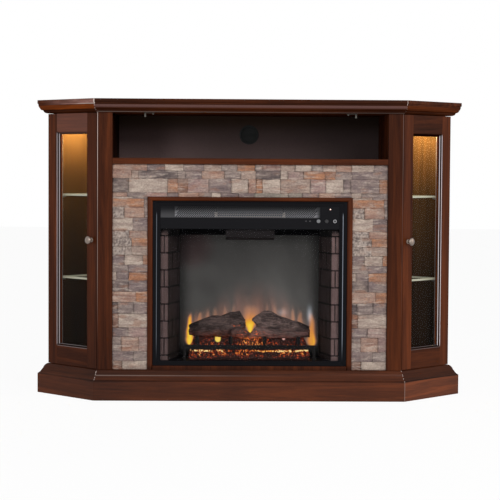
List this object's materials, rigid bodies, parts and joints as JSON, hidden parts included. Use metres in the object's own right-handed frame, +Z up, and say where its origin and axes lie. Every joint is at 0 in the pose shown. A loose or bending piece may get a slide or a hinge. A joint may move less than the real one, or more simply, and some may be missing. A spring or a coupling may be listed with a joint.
{
  "type": "corner fireplace",
  "caption": "Corner media fireplace with a stone surround, an electric firebox, an open media bay and a glazed lit cabinet in each angled wing.",
  "frame": {"origin": "on the floor, under the middle of the crown's hexagon", "axes": "+X along the front, towards the right-hand cabinet; +Y from the front to the back; +Z up"},
  "size_m": [1.327, 0.381, 0.9144],
  "materials": {
    "cherry_wood": "dark red-brown stained veneer, satin gloss",
    "back_board": "dark stained hardboard, matt",
    "ledge_stone": "cast ledge stone in grey, beige and rust, rough",
    "black_steel": "black powder coat, satin",
    "grille_steel": "grey woven mesh, satin",
    "duct_steel": "grey coated steel, matt",
    "zinc_fittings": "zinc plate, satin",
    "brushed_nickel": "brushed nickel",
    "bright_aluminium": "bright aluminium",
    "motor_metal": "plain cast metal",
    "black_plastic": "black moulded plastic, satin",
    "silver_plastic": "silver painted plastic",
    "indicator_lens": "lit red lens",
    "door_glass": "clear glass",
    "shelf_glass": "clear glass with a green edge",
    "firebox_glass": "lightly tinted glass",
    "bulb_glass": "frosted bulb",
    "lamp_lens": "frosted lens, lit warm white",
    "flame_screen": "translucent grey screen",
    "moulded_brick": "moulded brick, matt",
    "resin_logs": "moulded charred log, matt",
    "resin_embers": "moulded ember bed, lit from inside",
    "heater_ceramic": "ceramic heater block"
  },
  "bodies": {
    "cabinet": {"plinth": "cherry_wood", "base_cap": "cherry_wood", "base_board": "cherry_wood", "ceiling_board": "cherry_wood", "top_board": "cherry_wood", "crown_moulding": "cherry_wood", "door_stops": "cherry_wood", "corner_posts": "cherry_wood", "partitions": "cherry_wood", "end_panels": "cherry_wood", "back_panel_upper": "back_board", "back_panel_lower": "back_board", "bay_shelf": "cherry_wood", "hearth_board": "cherry_wood", "cable_grommet": "black_plastic", "panel_catches": "zinc_fittings", "firebox_trim": "cherry_wood", "stone_header": "ledge_stone", "stone_columns": "ledge_stone", "cabinet_lamps": "zinc_fittings", "lamp_lenses": "lamp_lens", "glass_shelves": "shelf_glass", "shelf_pins": "zinc_fittings", "magnet_catches": "zinc_fittings", "hinge_fixed_leaves": "zinc_fittings", "hinge_pins": "zinc_fittings", "firebox_case": "black_steel", "firebox_frame": "black_steel", "firebox_glass": "firebox_glass", "control_panel": "black_steel", "heater_grille": "grille_steel", "indicator_lights": "indicator_lens", "air_duct": "duct_steel", "brick_liners": "moulded_brick", "flame_screen": "flame_screen", "fire_logs": "resin_logs", "ember_bed": "resin_embers", "fire_grate": "black_steel", "flame_lamps": "bulb_glass", "rod_motor": "motor_metal", "blower_motor": "motor_metal", "heating_element": "heater_ceramic"},
    "left_door": {"left_door_stiles": "cherry_wood", "left_door_rails": "cherry_wood", "left_door_glass": "door_glass", "left_door_hinge_leaves": "zinc_fittings", "left_door_knob": "brushed_nickel", "left_door_strike": "zinc_fittings"},
    "right_door": {"right_door_stiles": "cherry_wood", "right_door_rails": "cherry_wood", "right_door_glass": "door_glass", "right_door_hinge_leaves": "zinc_fittings", "right_door_knob": "brushed_nickel", "right_door_strike": "zinc_fittings"},
    "power_push": {"power_button": "silver_plastic"},
    "heater_push": {"heater_button": "black_plastic"},
    "flame_push": {"flame_button": "silver_plastic"},
    "flame_rotor": {"flame_rod": "bright_aluminium"},
    "blower_rotor": {"blower_wheel": "bright_aluminium"}
  },
  "joints": [
    {"name": "left_door_hinge", "type": "hinge", "parent": "cabinet", "child": "left_door", "pos_m": [-0.61471, 0.01485, 0.483], "axis": [0, 0, -1], "range_deg": [0, 90]},
    {"name": "right_door_hinge", "type": "hinge", "parent": "cabinet", "child": "right_door", "pos_m": [0.61471, 0.01485, 0.483], "axis": [0, 0, 1], "range_deg": [0, 90]},
    {"name": "power_button_press", "type": "slide", "parent": "cabinet", "child": "power_push", "axis": [0, 1, 0], "range_m": [0, 0.0015], "stiffness_N_per_m": 300},
    {"name": "heater_button_press", "type": "slide", "parent": "cabinet", "child": "heater_push", "axis": [0, 1, 0], "range_m": [0, 0.0015], "stiffness_N_per_m": 300},
    {"name": "flame_button_press", "type": "slide", "parent": "cabinet", "child": "flame_push", "axis": [0, 1, 0], "range_m": [0, 0.0015], "stiffness_N_per_m": 300},
    {"name": "flame_rod_spin", "type": "hinge", "parent": "cabinet", "child": "flame_rotor", "pos_m": [0, -0.0125, 0.179], "axis": [1, 0, 0], "continuous": true},
    {"name": "blower_spin", "type": "hinge", "parent": "cabinet", "child": "blower_rotor", "pos_m": [0, -0.0635, 0.564], "axis": [1, 0, 0], "continuous": true}
  ]
}
